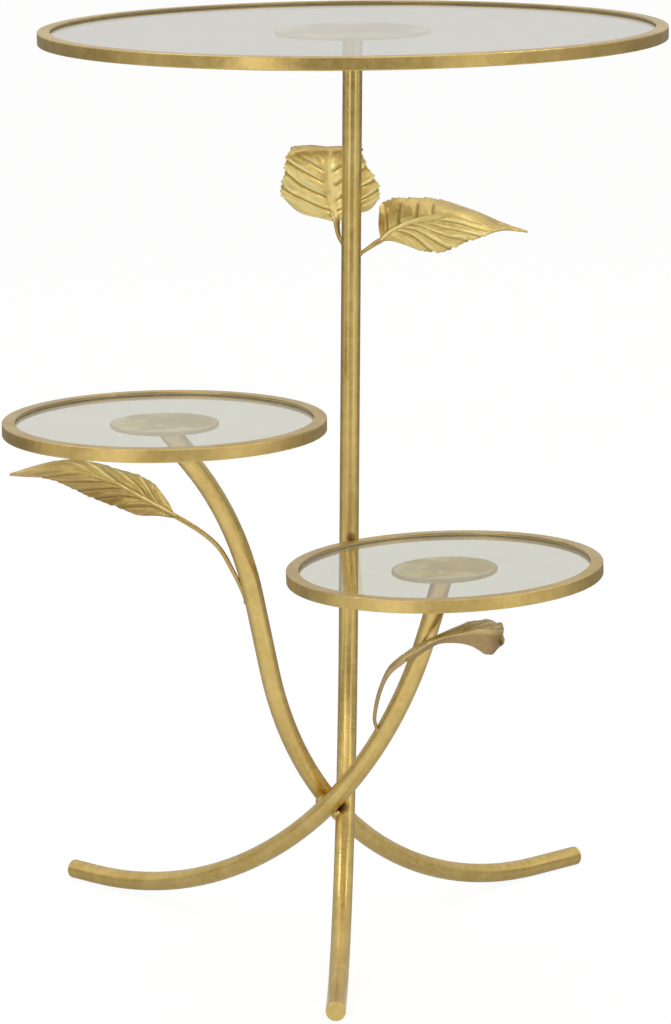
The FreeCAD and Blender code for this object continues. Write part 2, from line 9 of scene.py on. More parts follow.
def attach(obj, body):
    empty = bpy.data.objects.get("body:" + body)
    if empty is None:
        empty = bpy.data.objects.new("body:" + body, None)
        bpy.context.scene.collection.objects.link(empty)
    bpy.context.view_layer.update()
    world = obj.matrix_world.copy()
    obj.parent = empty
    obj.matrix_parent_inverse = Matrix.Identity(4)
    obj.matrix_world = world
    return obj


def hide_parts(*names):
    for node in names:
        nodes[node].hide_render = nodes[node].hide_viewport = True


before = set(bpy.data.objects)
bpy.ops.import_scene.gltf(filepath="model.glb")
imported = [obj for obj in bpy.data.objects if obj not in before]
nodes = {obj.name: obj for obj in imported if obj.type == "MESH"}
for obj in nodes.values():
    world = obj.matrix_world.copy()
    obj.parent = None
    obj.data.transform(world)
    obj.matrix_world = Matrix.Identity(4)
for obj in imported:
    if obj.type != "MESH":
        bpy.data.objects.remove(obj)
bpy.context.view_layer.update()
MM = 0.001


# ---------------------------------------------------------------- shader maths
class Wire:
    """A shader socket that takes part in sums."""

    def __init__(self, finish, socket):
        self.finish = finish
        self.socket = socket

    def _maths(self, operation, first, second):
        return self.finish.node("ShaderNodeMath", {"operation": operation}, {0: first, 1: second})

    def __add__(self, other):
        return self._maths("ADD", self, other)

    def __radd__(self, other):
        return self._maths("ADD", other, self)

    def __sub__(self, other):
        return self._maths("SUBTRACT", self, other)

    def __rsub__(self, other):
        return self._maths("SUBTRACT", other, self)

    def __mul__(self, other):
        return self._maths("MULTIPLY", self, other)

    def __rmul__(self, other):
        return self._maths("MULTIPLY", other, self)

    def __truediv__(self, other):
        return self._maths("DIVIDE", self, other)

    def at_most(self, other):
        return self._maths("MINIMUM", self, other)

    def at_least(self, other):
        return self._maths("MAXIMUM", self, other)


def rgb(red, green, blue):
    return (red, green, blue, 1.0)


def set_grey_stops(ramp, levels):
    """Give a ramp grey stops from (position, level) pairs."""
    stops = ramp.elements
    for stop, (position, level) in zip((stops[0], stops[1]), (levels[0], levels[-1])):
        stop.position, stop.color = position, rgb(level, level, level)
    for position, level in levels[1:-1]:
        stops.new(position).color = rgb(level, level, level)


class Finish:
    """A node tree that is filled by one method."""

    def __init__(self, tree):
        self.tree = tree
        tree.nodes.clear()

    def node(self, kind, settings=None, inputs=None, output=0):
        """Add a node: settings first, then the values or links of its sockets."""
        made = self.tree.nodes.new(kind)
        for name, value in (settings or {}).items():
            if name == "levels":
                set_grey_stops(made.color_ramp, value)
            else:
                setattr(made, name, value)
        for name, value in (inputs or {}).items():
            socket = made.inputs[name]
            if isinstance(value, Wire):
                self.tree.links.new(value.socket, socket)
            else:
                socket.default_value = value
        return Wire(self, made.outputs[output])

    def coords(self, centre=(0, 0, 0)):
        """Object coordinates about a centre, in metres."""
        place = self.node("ShaderNodeTexCoord", output="Object")
        return self.node("ShaderNodeMapping", None, {
            "Vector": place, "Location": tuple(-c for c in centre)})

    def clouds(self, where, scale, detail=2.0, roughness=0.5, distortion=0.0):
        return self.node("ShaderNodeTexNoise", None, {
            "Vector": where, "Scale": scale, "Detail": detail, "Roughness": roughness,
            "Distortion": distortion})

    def between(self, value, low, high):
        """0 at the low value and 1 at the high one, with soft ends."""
        return self.node("ShaderNodeMapRange", {"interpolation_type": "SMOOTHSTEP"}, {
            "Value": value, "From Min": low, "From Max": high})

    def profile(self, value, levels):
        """A curve through (value, level) pairs."""
        return self.node("ShaderNodeValToRGB", {"levels": levels}, {0: value})

    def blend(self, share, first, second):
        """Two colours mixed."""
        return self.node("ShaderNodeMix", {"data_type": "RGBA"}, {
            0: share, 6: first, 7: second}, output=2)

    def bump(self, height, distance, strength, under=None):
        inputs = {"Height": height, "Distance": distance, "Strength": strength}
        if under is not None:
            inputs["Normal"] = under
        return self.node("ShaderNodeBump", None, inputs)

    def surface(self, shader, kind="ShaderNodeOutputMaterial"):
        end = self.tree.nodes.new(kind)
        self.tree.links.new(shader.socket, end.inputs["Surface"])


def material(name):
    made = bpy.data.materials.new(name)
    made.use_nodes = True
    return made, Finish(made.node_tree)


# ---------------------------------------------------------------- finishes
# Marks of the welder's torch, with painted shade where parts meet, and of a rim's joint: centre and reach
# in millimetres, colour.
MARKS_AND_PAINTED_SHADE = (
    # At the hub: brown of the weld and painted shade in the hollow where the tubes cross.
    ((-3.5, -37.5, 112.5), 7.5, rgb(0.15, 0.075, 0.022)),
    # Where the right rim meets the upright: brown of the tack weld and painted shade where the two touch.
    ((6.5, 8.0, 330.5), 6.0, rgb(0.24, 0.13, 0.04)),
    ((-20.6, -236.4, 745.5), 1.3, rgb(0.95, 0.86, 0.6)),
)
PAINTED_GLINT_GOLD = rgb(0.86, 0.69, 0.34)
SPECK_BROWN = rgb(0.20, 0.12, 0.03)
SWIRL_CREAM = rgb(0.96, 0.92, 0.72)
WORN_BROWN = rgb(0.42, 0.34, 0.22)
FILM_EDGE = rgb(0.80, 0.77, 0.62)


def gold_lacquer(name, pale, deep, rough, marks_and_shade=()):
    """Satin antique gold on steel under a thin clear coat.

    The tone drifts along the tube and in small patches, the gloss in wide zones, and fine grain, dark
    specks and painted glints (paler gold dots standing in for highlights) give the faint sparkle.
    """
    made, f = material(name)
    here = f.coords()
    tone = f.between(f.clouds(here, 26.0, detail=3.0, roughness=0.6), 0.34, 0.68)
    patch = f.between(f.clouds(here, 140.0, roughness=0.55), 0.35, 0.7)
    zone = f.between(f.clouds(here, 9.0, detail=1.0), 0.38, 0.62)
    fine = f.clouds(here, 1300.0, roughness=0.6)
    speck = f.between(f.clouds(here, 620.0, detail=1.0, roughness=0.4), 0.70, 0.80)
    painted_glint = f.between(f.clouds(here, 760.0, detail=1.0, roughness=0.4), 0.66, 0.80)
    colour = f.blend(tone * 0.55 + patch * 0.45, rgb(*deep), rgb(*pale))
    # Painted glints: paler gold dots standing in for highlights.
    colour = f.blend(painted_glint * 0.3, colour, PAINTED_GLINT_GOLD)
    colour = f.blend(speck * 0.35, colour, SPECK_BROWN)
    # Each mark browns the colour about its centre: weld scorch, painted shade where parts meet, and the
    # pale fleck of a rim's joint.
    for centre, reach, mark_and_shade in marks_and_shade:
        apart = f.node("ShaderNodeVectorMath", {"operation": "DISTANCE"}, {
            0: here, 1: tuple(c * MM for c in centre)}, output="Value")
        colour = f.blend(f.between(apart, reach * MM, 0.4 * reach * MM) * 0.85, colour, mark_and_shade)
    normal = f.bump(fine, distance=0.00006, strength=0.6)
    normal = f.bump(patch, distance=0.00016, strength=0.35, under=normal)
    f.surface(f.node("ShaderNodeBsdfPrincipled", None, {
        "Base Color": colour,
        "Roughness": rough - 0.06 + 0.05 * patch + 0.05 * fine + 0.08 * zone,
        "Metallic": 0.93,
        "Normal": normal,
        "Coat Weight": 0.22 + 0.1 * tone,
        "Coat Roughness": 0.22}))
    return made


def leaf_lacquer(name, pale, deep, crest, groove, brown):
    """Antique gold on the pressed leaves, with painted highlights on the veins and painted shade beside
    them.
    """
    made, f = material(name)
    here = f.coords()
    vein, dusk = (f.node("ShaderNodeAttribute", {"attribute_name": layer}, output="Fac")
                  for layer in ("vein", "dusk"))
    tone = f.between(f.clouds(here, 70.0, detail=3.0, roughness=0.6), 0.32, 0.7)
    streak = f.between(f.clouds(here, 300.0, roughness=0.6), 0.35, 0.7)
    fine = f.clouds(here, 1400.0, roughness=0.6)
    colour = f.blend(tone * 0.6 + streak * 0.4, rgb(*deep), rgb(*pale))
    # Painted shade: browner at the tip and on the halves that lie in shade.
    colour = f.blend(dusk * (0.75 + 0.25 * streak), colour, rgb(*brown))
    # Painted shade in the grooves and the ditches beside the midrib; the leaf's edge is darker too.
    colour = f.blend(f.between(vein, 0.0, -0.9) * 0.75, colour, rgb(*groove))
    # Painted highlight on the crests and the midrib, weaker where the painted shade browns.
    colour = f.blend(f.between(vein, 0.15, 0.95) * (0.75 - 0.35 * dusk), colour, rgb(*crest))
    normal = f.bump(fine, distance=0.0001, strength=0.6)
    normal = f.bump(streak, distance=0.00025, strength=0.35, under=normal)
    f.surface(f.node("ShaderNodeBsdfPrincipled", None, {
        "Base Color": colour,
        "Roughness": 0.33 + 0.07 * tone + 0.07 * fine - 0.06 * f.between(vein, 0.3, 0.9),
        "Metallic": 0.88,
        "Normal": normal}))
    return made


def clear_glass(name, clean, hazy):
    """Polished float glass with a faint haze; lamps shine through it."""
    made, f = material(name)
    haze = f.between(f.clouds(f.coords(), 14.0, detail=3.0, roughness=0.6), 0.4, 0.75)
    glass = f.node("ShaderNodeBsdfPrincipled", None, {
        "Base Color": f.blend(haze, rgb(*clean), rgb(*hazy)),
        "Roughness": 0.004 + 0.012 * haze,
        "IOR": 1.5,
        "Transmission Weight": 1.0})
    open_to_light = f.node("ShaderNodeBsdfTransparent", None, {"Color": rgb(0.9, 0.9, 0.86)})
    shadow = f.node("ShaderNodeLightPath", output="Is Shadow Ray")
    f.surface(f.node("ShaderNodeMixShader", None, {0: shadow, 1: glass, 2: open_to_light}))
    return made


def plate_lacquer(centre):
    """Gold plate under the glass, cloudy."""
    made, f = material("gold_plate")
    here = f.coords(centre)
    tone = f.between(f.clouds(here, 45.0, detail=3.0, roughness=0.6), 0.32, 0.7)
    fine = f.clouds(here, 1500.0, roughness=0.6)
    f.surface(f.node("ShaderNodeBsdfPrincipled", None, {
        "Base Color": f.blend(tone, rgb(0.52, 0.41, 0.17), rgb(0.66, 0.54, 0.26)),
        "Roughness": 0.44 + 0.1 * fine,
        "Metallic": 0.35,
        "Normal": f.bump(fine, distance=0.00006, strength=0.6)}))
    return made


def adhesive(centre, radius, deep, pale):
    """Clear adhesive film over gold, with pale swirls where it was pressed out and a greyer rim."""
    made, f = material("plate_adhesive")
    here = f.coords(centre)
    length = f.node("ShaderNodeVectorMath", {"operation": "LENGTH"}, {0: here}, output="Value")
    outwards = length / radius
    cloud = f.between(f.clouds(here, 20.0, distortion=1.0), 0.44, 0.56)
    swirl = f.between(f.clouds(here, 30.0, detail=3.0, roughness=0.55, distortion=1.6), 0.56, 0.61)
    wear_and_painted_light = f.between(f.clouds(here, 24.0, distortion=1.2), 0.60, 0.66)
    edge = f.between(outwards + 0.12 * cloud + 0.10 * swirl, 0.86, 1.0)
    colour = f.blend(cloud, rgb(*deep), rgb(*pale))
    colour = f.blend(swirl * 0.75, colour, SWIRL_CREAM)
    colour = f.blend(wear_and_painted_light * 0.65, colour, WORN_BROWN)
    colour = f.blend(edge * 0.75, colour, FILM_EDGE)
    f.surface(f.node("ShaderNodeBsdfPrincipled", None, {
        "Base Color": colour,
        "Roughness": 0.45 + 0.2 * cloud,
        "Metallic": 0.0,
        "Normal": f.bump(swirl, distance=0.0002, strength=0.3)}))
    return made


def glazing_strip(name, deep, pale):
    """Milky to honey-coloured soft strip round the glass."""
    made, f = material(name)
    cloud = f.clouds(f.coords(), 90.0)
    f.surface(f.node("ShaderNodeBsdfPrincipled", None, {
        "Base Color": f.blend(cloud, rgb(*deep), rgb(*pale)),
        "Roughness": 0.55 + 0.15 * cloud}))
    return made


# Gold lacquers: pale tone, deep tone, roughness.
FRAME_GOLD = gold_lacquer("gold_frame", (0.75, 0.555, 0.20), (0.60, 0.425, 0.132), 0.29, MARKS_AND_PAINTED_SHADE)
RIM_GOLD = gold_lacquer("gold_rim", (0.68, 0.495, 0.175), (0.54, 0.375, 0.112), 0.33, MARKS_AND_PAINTED_SHADE)
RIBBON_GOLD = gold_lacquer("gold_ribbon", (0.54, 0.39, 0.185), (0.42, 0.29, 0.13), 0.42)
STEM_GOLD = gold_lacquer("gold_stem", (0.64, 0.47, 0.175), (0.50, 0.35, 0.115), 0.33)
# Leaf lacquers: pale tone, deep tone, painted highlight on the crests, painted shade in the grooves,
# brown of the painted shade. Each leaf's tones are painted lighter or darker to set how lit it looks; the
# upper left leaf's are the lightest.
LEAF_GOLD = {
    "upper_left": leaf_lacquer(
        "gold_leaf_painted_lighter", (0.98, 0.82, 0.37), (0.93, 0.75, 0.31),
        (1.0, 0.88, 0.42), (0.40, 0.27, 0.07), (0.52, 0.37, 0.145)),
    "upper_right": leaf_lacquer(
        "gold_leaf", (0.84, 0.68, 0.28), (0.68, 0.525, 0.19),
        (1.0, 0.86, 0.43), (0.29, 0.19, 0.05), (0.56, 0.40, 0.17)),
    "lower_left": leaf_lacquer(
        "gold_leaf_fine", (0.71, 0.56, 0.235), (0.56, 0.42, 0.155),
        (0.97, 0.81, 0.40), (0.28, 0.18, 0.055), (0.43, 0.305, 0.137)),
    "lower_right": leaf_lacquer(
        "gold_leaf_painted_darker", (0.70, 0.54, 0.25), (0.55, 0.41, 0.165),
        (0.97, 0.82, 0.44), (0.28, 0.185, 0.06), (0.34, 0.23, 0.113)),
}
# Glass: clean tone, hazy tone. Seals: deep tone, pale tone.
TOP_GLASS = clear_glass("clear_glass", (0.885, 0.875, 0.79), (0.86, 0.85, 0.765))
SIDE_GLASS = clear_glass("clear_glass_small", (0.835, 0.825, 0.725), (0.81, 0.80, 0.70))
TOP_SEAL = glazing_strip("glazing_seal", (0.31, 0.265, 0.18), (0.45, 0.40, 0.29))
SIDE_SEAL = glazing_strip("glazing_seal_small", (0.64, 0.57, 0.42), (0.78, 0.71, 0.55))

# ---------------------------------------------------------------- trays and frame
# Tray: centre of the rim's top face, slope towards +X, radius of the plate, in millimetres.
TRAYS = {
    "top": ((11.55, 17.4, 750.0), 0.0, 63.0),
    "left": ((-138.55, -144.4, 460.6), 0.0, 42.5),
    "right": ((80.55, -94.09, 330.4), 0.02793, 42.5),
}
# Adhesive film of each tray: its deep and its pale tone, painted lighter on the right tray and darker on
# the top tray to set how lit each looks.
FILM_TONES_AND_PAINTED_LIGHT = {
    "top": ((0.34, 0.24, 0.06), (0.50, 0.39, 0.14)),
    "left": ((0.48, 0.36, 0.08), (0.68, 0.54, 0.18)),
    "right": ((0.60, 0.46, 0.11), (0.84, 0.70, 0.27)),
}
# The film's faces below the rim's top face, and how far it ends inside the plate, in millimetres.
FILM_TOP, FILM_BASE, FILM_INSET = 7.04, 7.27, 1.5


def linked(name, mesh):
    thing = bpy.data.objects.new(name, mesh)
    bpy.context.scene.collection.objects.link(thing)
    return thing


def finished(shape, name, node, finish):
    """Turn a bmesh into a riding piece that stands for a node."""
    bmesh.ops.recalc_face_normals(shape, faces=shape.faces)
    for face in shape.faces:
        face.smooth = True
    mesh = bpy.data.meshes.new(name)
    shape.to_mesh(mesh)
    shape.free()
    mesh.materials.append(finish)
    piece = linked(name, mesh)
    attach(piece, "root")
    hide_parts(node)
    return piece


def film_disc(tray, finish):
    """The adhesive film, with a hair of air above and below it."""
    centre, slope, plate_radius = TRAYS[tray]
    up = Vector((-slope, 0, 1)).normalized()
    middle = (Vector(centre) - up * (FILM_TOP + FILM_BASE) / 2) * MM
    tilt = Vector((0, 0, 1)).rotation_difference(up).to_matrix().to_4x4()
    radius = (plate_radius - FILM_INSET) * MM
    disc = bmesh.new()
    bmesh.ops.create_cone(disc, cap_ends=True, segments=128, radius1=radius, radius2=radius,
                          depth=(FILM_BASE - FILM_TOP) * MM, matrix=Matrix.Translation(middle) @ tilt)
    piece = finished(disc, tray + "_film", tray + "_bond", finish)
    for face in piece.data.polygons:
        face.use_smooth = False


for tray, (centre, slope, plate_radius) in TRAYS.items():
    at = tuple(c * MM for c in centre)
    under_glass = (at[0], at[1], at[2] - FILM_TOP * MM)
    glass, seal = (TOP_GLASS, TOP_SEAL) if tray == "top" else (SIDE_GLASS, SIDE_SEAL)
    for part, finish in (("rim", RIM_GOLD), ("seal", seal), ("glass", glass),
                         ("plate", plate_lacquer(at)), ("plate_weld", FRAME_GOLD)):
        nodes["%s_%s" % (tray, part)].material_slots[0].material = finish
    film_disc(tray, adhesive(under_glass, plate_radius * MM, *FILM_TONES_AND_PAINTED_LIGHT[tray]))
for name, thing in nodes.items():
    if name.endswith(("_tube", "_cap")) or name.startswith("hub_weld") or name == "rim_weld":
        thing.material_slots[0].material = FRAME_GOLD

# ---------------------------------------------------------------- leaves
# Cross sections from base to tip as (upper edge, midrib, lower edge), in millimetres. The place of a
# section in its list is its station.
BLADES = {
    "upper_left": [
        ((-4.9, 29.4, 590.5), (-3, 30.4, 591.2), (-1.2, 29.4, 590.5)),
        ((-18.3, 29.4, 593.4), (-4.4, 31.9, 596.3), (9.5, 29.9, 596)),
        ((-33, 29.4, 597.8), (-5.6, 33.9, 601.4), (22.6, 30.4, 598.7)),
        ((-43.9, 29.9, 607.3), (-7.2, 36.4, 608.1), (30, 31.4, 606.3)),
        ((-48.7, 31.4, 616.6), (-8.7, 38.9, 616.8), (32.1, 33.4, 615.5)),
        ((-45.7, 34.4, 627.7), (-9.8, 42.4, 627.1), (29.4, 37.4, 622.8)),
        ((-44.4, 38.4, 638.6), (-10.2, 46.4, 636.9), (22.5, 42.4, 633.3)),
        ((-41.5, 45.4, 645.5), (-9.7, 52.4, 645.2), (18.1, 50.4, 642.7)),
        ((-37.4, 57.1, 648.7), (-9.7, 61.4, 647.4), (18.1, 61.7, 646)),
        ((-33.6, 70.4, 644.3), (-9.7, 74.4, 643.7), (14.2, 74.4, 642)),
        ((-28.2, 85.9, 634.1), (-9.7, 88.4, 634.2), (8.8, 88.9, 632.3)),
        ((-21.6, 98.4, 620.8), (-9.7, 99.4, 621.2), (2.3, 100.4, 619.6)),
        ((-14.4, 107, 605.4), (-9.7, 107.4, 605.2), (-4.9, 107.8, 605)),
    ],
    "upper_right": [
        ((32.3, 14.3, 578.1), (33.3, 13.8, 577), (34.4, 13.3, 575.9)),
        ((31.3, 23.4, 590.5), (39.7, 12.3, 582.9), (41.6, 8.3, 576.6)),
        ((34.3, 30.4, 604.2), (47.8, 11.3, 587.4), (51.7, 2.4, 574.4)),
        ((45, 33.4, 608), (57.6, 10.3, 592), (62.1, -2.6, 571.3)),
        ((58.9, 34.4, 607.9), (68.1, 9.3, 594.4), (73.4, -6.7, 569.5)),
        ((73.6, 34.4, 607.7), (78.7, 9.3, 596.8), (86.3, -8.7, 570.8)),
        ((88.3, 33.4, 604.7), (90.9, 9.3, 598.3), (99.3, -7.7, 576.8)),
        ((102.1, 31.4, 600.3), (105.5, 11.3, 595.8), (112.3, -3.6, 580.3)),
        ((115.8, 28.4, 595.3), (119.4, 14.3, 591.6), (123.1, 3.4, 583.1)),
        ((132, 24.4, 588.4), (133.4, 18.4, 586.5), (134.8, 11.3, 584.3)),
        ((151.4, 20.4, 581.5), (152.2, 19.9, 581.1), (151.7, 19.4, 580.8)),
    ],
    "lower_left": [
        ((-134.4, -96.5, 373.6), (-133, -96.5, 371.9), (-134.1, -97.5, 371.1)),
        ((-138.7, -90.5, 380.5), (-143.2, -96.5, 377.7), (-147, -103.5, 374.3)),
        ((-147.5, -84.5, 392), (-156.6, -97.5, 385.4), (-161.7, -110.5, 376.5)),
        ((-157.9, -80.5, 399.8), (-169.1, -98.5, 393), (-174.8, -114.5, 382.4)),
        ((-170.7, -78.5, 404.3), (-181.6, -99.5, 399.9), (-187.3, -116.5, 387.8)),
        ((-185.8, -78.5, 409.1), (-195.7, -100.5, 405.5), (-199.8, -116.5, 392.8)),
        ((-201.5, -80.5, 413.9), (-209.9, -101.5, 409.9), (-212.4, -115.5, 399)),
        ((-217.2, -84.5, 416.7), (-224, -102.5, 412.1), (-225, -113.5, 404.6)),
        ((-232.8, -89.5, 415.8), (-237.5, -102.5, 411.6), (-237.8, -110.5, 407.6)),
        ((-248.3, -95.5, 412.9), (-251.8, -102.5, 410.1), (-253.2, -106.5, 407.9)),
        ((-264.3, -101.5, 408.8), (-264.6, -102.5, 408.3), (-264.1, -103.5, 407.8)),
    ],
    "lower_right": [
        ((44.0, -100.2, 254.9), (45, -101.2, 252.6), (46.2, -100.2, 250.2)),
        ((48.6, -101.2, 259.2), (48.9, -103.4, 256.2), (49.6, -102.2, 252.6)),
        ((55.3, -102.2, 263.8), (55.2, -107.2, 260.6), (55.6, -105.2, 255.7)),
        ((64.5, -102.2, 268.9), (64.8, -111.2, 267.5), (65.6, -108.2, 263.1)),
        ((73.8, -101.2, 273.1), (74.4, -114.2, 272.9), (75.2, -110.2, 268.8)),
        ((82.8, -97.2, 276.2), (83.1, -115.2, 276.3), (84.8, -111.2, 269.9)),
        ((90.9, -93.2, 278.6), (91.9, -115.2, 278.2), (94.4, -111.2, 269.1)),
        ((99, -89.2, 280.7), (100.7, -114.2, 279.9), (102.4, -110.2, 266.3)),
        ((107.2, -84.2, 281.1), (109.6, -111.2, 280.3), (110.5, -107.2, 260.7)),
        ((116.3, -78.2, 280.2), (118.6, -105.2, 278.4), (117.8, -102.2, 257.8)),
        ((123.8, -71.2, 275.8), (124.9, -95.2, 273.8), (124.1, -95.2, 261.8)),
        ((127, -75.9, 276.8), (127.1, -86.2, 270.8), (127.3, -96.5, 264.8)),
        ((125.6, -68.8, 268.7), (125.6, -77.2, 264.8), (124.5, -85.6, 259.9)),
        ((121.5, -66.8, 261.5), (121.0, -71.2, 259.0), (119.0, -77.6, 256.2)),
    ],
}
# Veins on the half above the midrib, then on the half below it. For each half: the stations where its
# veins leave the midrib, the stations where they meet the edge, how they bend; the strength of crest,
# groove and pillow; the stations between which the relief dies out, and the shares of the half's width
# between which it dies out.
VEINS = {
    "upper_left": (
        ([0.2, 1.5, 3.4, 4.5, 5.3, 6.4], [3.4, 4.6, 5.5, 6.3, 7.5, 8.8], 1.0,
         1.3, 1.15, 1.2, (5.5, 7.0), (0.8, 1.3)),
        ([0.2, 1.5, 3.0, 4.3, 5.3, 6.4], [3.2, 4.3, 5.3, 6.3, 7.5, 8.8], 1.0,
         1.3, 1.05, 1.2, (5.5, 7.0), (0.8, 1.3))),
    "upper_right": (
        ([0.1, 0.9, 2.3, 3.8, 4.95, 6.2], [1.6, 2.8, 3.8, 4.7, 5.5, 6.9], 1.0,
         0.4, 1.2, 0.8, (4.6, 6.0), (0.35, 0.95)),
        ([0.1, 0.7, 1.4, 2.2, 3.1, 4.2, 5.2], [3.0, 4.3, 5.5, 6.5, 7.3, 8.3, 9.2], 0.65,
         1.0, 0.8, 0.8, (6.6, 8.4), (0.8, 1.3))),
    "lower_left": (
        ([0.2, 0.8, 1.3, 3.9, 4.5, 5.4], [2.2, 3.4, 5.1, 6.3, 7.8, 9.2], 0.8,
         1.0, 0.55, 0.35, (6.4, 8.2), (0.7, 1.1)),
        ([0.3, 1.5, 2.5, 3.5, 4.5, 6.1, 7.4], [2.0, 3.6, 5.0, 6.0, 7.3, 8.2, 9.2], 1.0,
         0.5, 0.75, 0.4, (7.6, 9.2), (0.8, 1.3))),
    "lower_right": (
        ([2.0, 4.0, 6.0, 7.6, 8.8], [7.0, 8.6, 10.2, 11.4, 12.6], 0.8,
         0.7, 0.7, 0.4, (10.5, 12.5), (0.8, 1.3)),
        ([3.0, 6.0, 8.4], [8.0, 10.6, 12.6], 0.9,
         0.12, 0.1, 0.3, (10.0, 12.0), (0.8, 1.3))),
}
# Midrib: half-width and height in millimetres at the base, and the station where it dies out.
MIDRIB = {
    "upper_left": (2.4, 0.6, 4.4),
    "upper_right": (1.5, 1.5, 7.0),
    "lower_left": (1.5, 1.1, 8.0),
    "lower_right": (1.6, 0.25, 9.0),
}
# Painted shade, browning the finish: the stations between which the tip turns brown, how brown it gets,
# and how brown the half above and the half below the midrib are.
PAINTED_SHADE_PARTS = {
    "upper_left": ((5.9, 7.3), 1.0, 0.0, 0.0),
    "upper_right": ((6.6, 8.4), 0.85, 0.5, 0.0),
    "lower_left": ((8.0, 9.5), 0.5, 0.2, 0.8),
    "lower_right": ((9.0, 11.0), 0.0, 0.25, 0.9),
}
# Which way the pressed side faces.
FACING = {
    "upper_left": Vector((0, -1, 0.3)),
    "upper_right": Vector((0, -1, 0.3)),
    "lower_left": Vector((0, -1, 0.5)),
    "lower_right": Vector((0, -1, 0.6)),
}
# Heights of the relief in millimetres, where its strength is 1.
CREST_RISE, GROOVE_DROP, PILLOW_RISE, DENT_RISE = 0.75, 0.55, 0.55, 0.55
DITCH_DROP, CURL_RISE = 0.3, 0.8
# Shares of the way from one vein to the next: how far a crest reaches past its vein and back before
# it, where the groove lies and how far it reaches, and how much of the way the pillow takes.
CREST_PAST, CREST_BEFORE, GROOVE_AT, GROOVE_REACH, PILLOW_SHARE = 0.17, 0.13, 0.74, 0.12, 0.8
# The midrib thins out from this share of its length, and narrows to this share of its width.
RIB_THINS_FROM, RIB_NARROWS_TO = 0.35, 0.45
# The ditch beside the midrib: where it lies and how far it reaches, in half-widths of the midrib.
DITCH_AT, DITCH_REACH = 1.7, 0.6
# How strongly the painted shade shows in a groove, the painted highlight on the midrib and the painted
# shade in its ditch, and how much darker the leaf's edge is; and the height in millimetres from which a
# midrib's painted light is full.
GROOVE_PAINTED_SHADE, RIB_PAINTED_HIGHLIGHT, DITCH_PAINTED_SHADE, EDGE_DARKENING, FULL_RIB = 1.2, 0.9, 0.5, 0.5, 0.6
# Patches of noise, as how quickly they change lengthways and across, and their strength: the unevenness
# of the crests in height and in painted highlight, then the wide and the small dents.
CREST_UNEVENNESS = (1.1, 2.6, 0.9)
WIDE_DENTS, SMALL_DENTS = (0.9, 1.9, 1.0), (2.7, 5.5, 0.4)
# How far the edge swells at a vein's end and between the veins, as shares of the half's width.
TOOTH_SWELL, TOOTH_RIPPLE = 0.062, 0.012
# The stations between which relief and teeth set in at a leaf's base.
BASE = (0.3, 1.4)
# Stations before the tip between which the teeth die out, and over which the dents do.
TEETH_END, DENTS_END = (2.2, 0.8), 1.5
# Shares of a half's width, from the midrib to the edge: where the relief and the painted shade's brown
# set in beside the midrib, where the teeth set in, where the dents die out, and where the edge turns
# darker.
RELIEF_IN, BROWN_IN, TEETH_IN, DENTS_OUT, DARK_EDGE = (
    (0.04, 0.20), (0.05, 0.3), (0.7, 1.0), (0.8, 1.0), (0.93, 1.0))
# Half the distance over which the sheet's direction is taken, and how far ahead its width is taken, in
# stations.
LOOK_AROUND, LOOK_AHEAD = 0.12, 0.15
SHEET_THICKNESS = 0.001
STEPS_LONG, STEPS_WIDE = 220, 84


def along(row, station):
    """Point of a smooth curve through a row of points, at a fractional station."""
    first = max(0, min(int(station), len(row) - 2))
    share = station - first
    a = row[max(first - 1, 0)]
    b, c = row[first], row[first + 1]
    d = row[min(first + 2, len(row) - 1)]
    return (b + (c - a) * (0.5 * share) + (a - b * 2.5 + c * 2 - d * 0.5) * share ** 2
            + ((b - c) * 1.5 + (d - a) * 0.5) * share ** 3)


def smooth(value, low, high):
    """0 up to the low value and 1 from the high one, with soft ends."""
    share = max(0.0, min(1.0, (value - low) / (high - low)))
    return share * share * (3 - 2 * share)


def hump(value, reach):
    return math.exp(-(value / reach) ** 2)


def patches(station, across, kind, seed):
    """Smooth noise over a leaf."""
    long_scale, wide_scale, strength = kind
    return strength * noise.noise(Vector((station * long_scale, across * wide_scale, seed)))


def vein_phase(starts, ends, bend, station, wide):
    """Place between two veins, 0 to 1 from one to the next, or None outside them."""
    lean = wide ** bend
    lines = [a + (b - a) * lean for a, b in zip(starts, ends)]
    place = bisect.bisect_right(lines, station)
    if place == 0 or place == len(lines):
        return None
    return (station - lines[place - 1]) / (lines[place] - lines[place - 1])


def pressed(phase):
    """Crest, groove and pillow between two veins: a crest on each vein, a groove before the next."""
    if phase is None:
        return 0.0, 0.0, 0.0
    crest = hump(phase, CREST_PAST) + hump(1 - phase, CREST_BEFORE)
    groove = hump(phase - GROOVE_AT, GROOVE_REACH)
    pillow = 0.5 - 0.5 * math.cos(2 * math.pi * min(1.0, phase / PILLOW_SHARE))
    return crest, groove, pillow


def tooth(phase, station, last):
    """How far the edge swells: to a point where a vein ends, with finer teeth between."""
    if phase is None:
        return 0.0
    swell = TOOTH_SWELL * (0.5 - phase) + TOOTH_RIPPLE * math.sin(6 * math.pi * phase)
    fading = smooth(station, last - TEETH_END[0], last - TEETH_END[1])
    return swell * smooth(station, *BASE) * (1 - fading)


